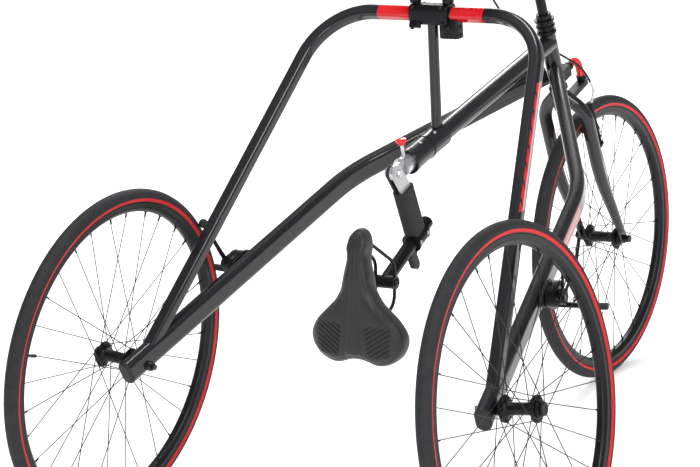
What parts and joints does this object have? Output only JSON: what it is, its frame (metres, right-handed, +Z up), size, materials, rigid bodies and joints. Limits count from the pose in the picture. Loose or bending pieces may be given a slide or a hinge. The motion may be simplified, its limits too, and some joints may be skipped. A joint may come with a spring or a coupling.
{
  "type": "adaptive running tricycle",
  "caption": "Frame-running tricycle without pedals: leaning hoop, bent side rails, cambered rear wheels, steered front wheel, folding saddle arm and chest rest.",
  "frame": {"origin": "on the floor, at the middle of the object's length and width", "axes": "+X forward to the steered wheel, +Y to the runner's left, +Z up"},
  "size_m": [1.8924, 1.026, 1.1664],
  "materials": {
    "frame_paint": "satin black enamel, red gloss bands on the hoop",
    "tyre_rubber": "slick black rubber with a red sidewall stripe",
    "rim_black": "satin black anodised",
    "hub_black": "satin black anodised",
    "spoke_steel": "dark stainless wire",
    "bright_metal": "polished steel",
    "red_plastic": "gloss red",
    "black_plastic": "moulded black plastic",
    "saddle_vinyl": "soft black vinyl, glossy at the nose",
    "pad_vinyl": "soft black vinyl over foam",
    "grip_rubber": "matt ribbed rubber"
  },
  "bodies": {
    "frame": {"head_tube": "frame_paint", "headset_cups": "hub_black", "main_rail_left": "frame_paint", "main_rail_right": "frame_paint", "hoop": "frame_paint", "centre_tube": "frame_paint", "saddle_sleeve": "frame_paint", "hoop_post": "frame_paint", "rear_axle_left": "hub_black", "rear_axle_right": "hub_black", "chest_collar": "hub_black", "chest_uprights": "hub_black", "chest_plate": "hub_black", "chest_pad": "pad_vinyl", "rail_plugs": "black_plastic", "parking_brake_left": "hub_black", "parking_brake_right": "hub_black", "parking_lever_left": "hub_black", "parking_lever_right": "hub_black", "spring_bracket": "black_plastic"},
    "steering": {"fork": "frame_paint", "front_skewer": "hub_black", "stem_base": "hub_black", "stem_tube": "hub_black", "handlebar": "hub_black", "grip_left": "grip_rubber", "grip_right": "grip_rubber", "front_brake_arms": "hub_black", "front_brake_pads": "black_plastic", "brake_pipe": "bright_metal", "steering_spring": "red_plastic", "spring_shelf": "black_plastic", "brake_lever": "hub_black", "brake_cable": "black_plastic"},
    "front_wheel": {"front_tyre": "tyre_rubber", "front_rim": "rim_black", "front_hub": "hub_black", "front_spokes": "spoke_steel"},
    "rear_wheel_left": {"rear_tyre_left": "tyre_rubber", "rear_rim_left": "rim_black", "rear_hub_left": "hub_black", "rear_spokes_left": "spoke_steel"},
    "rear_wheel_right": {"rear_tyre_right": "tyre_rubber", "rear_rim_right": "rim_black", "rear_hub_right": "hub_black", "rear_spokes_right": "spoke_steel"},
    "saddle_slider": {"saddle_carrier": "bright_metal", "release_stem": "bright_metal", "release_knob": "red_plastic"},
    "saddle_swing": {"clevis_plate_left": "black_plastic", "clevis_plate_right": "bright_metal", "pivot_pin": "bright_metal", "saddle_arm": "frame_paint", "seat_post_clamp": "hub_black", "clamp_lever": "hub_black"},
    "saddle_mount": {"seat_post": "hub_black", "saddle_clamp": "hub_black", "saddle_rails": "hub_black", "saddle": "saddle_vinyl"}
  },
  "joints": [
    {"name": "rear_left_spin", "type": "hinge", "parent": "frame", "child": "rear_wheel_left", "pos_m": [-0.60325, 0.46, 0.3409], "axis": [0, 0.9936, 0.1132], "continuous": true},
    {"name": "rear_right_spin", "type": "hinge", "parent": "frame", "child": "rear_wheel_right", "pos_m": [-0.60325, -0.46, 0.3409], "axis": [0, 0.9936, -0.1132], "continuous": true},
    {"name": "steer", "type": "hinge", "parent": "frame", "child": "steering", "pos_m": [0.42152, 0, 0.7694], "axis": [-0.2924, 0, 0.9563], "range_deg": [-40, 40]},
    {"name": "front_spin", "type": "hinge", "parent": "steering", "child": "front_wheel", "pos_m": [0.62175, 0, 0.3245], "axis": [0, 1, 0], "continuous": true},
    {"name": "saddle_slide", "type": "slide", "parent": "frame", "child": "saddle_slider", "axis": [-0.9774, 0, -0.2115], "range_m": [0, 0.05]},
    {"name": "saddle_swing", "type": "hinge", "parent": "saddle_slider", "child": "saddle_swing", "pos_m": [-0.25325, 0, 0.66925], "axis": [0, 1, 0], "range_deg": [0, 90]},
    {"name": "seat_post_slide", "type": "slide", "parent": "saddle_swing", "child": "saddle_mount", "axis": [0.9018, 0, 0.4321], "range_m": [-0.025, 0.05]}
  ]
}
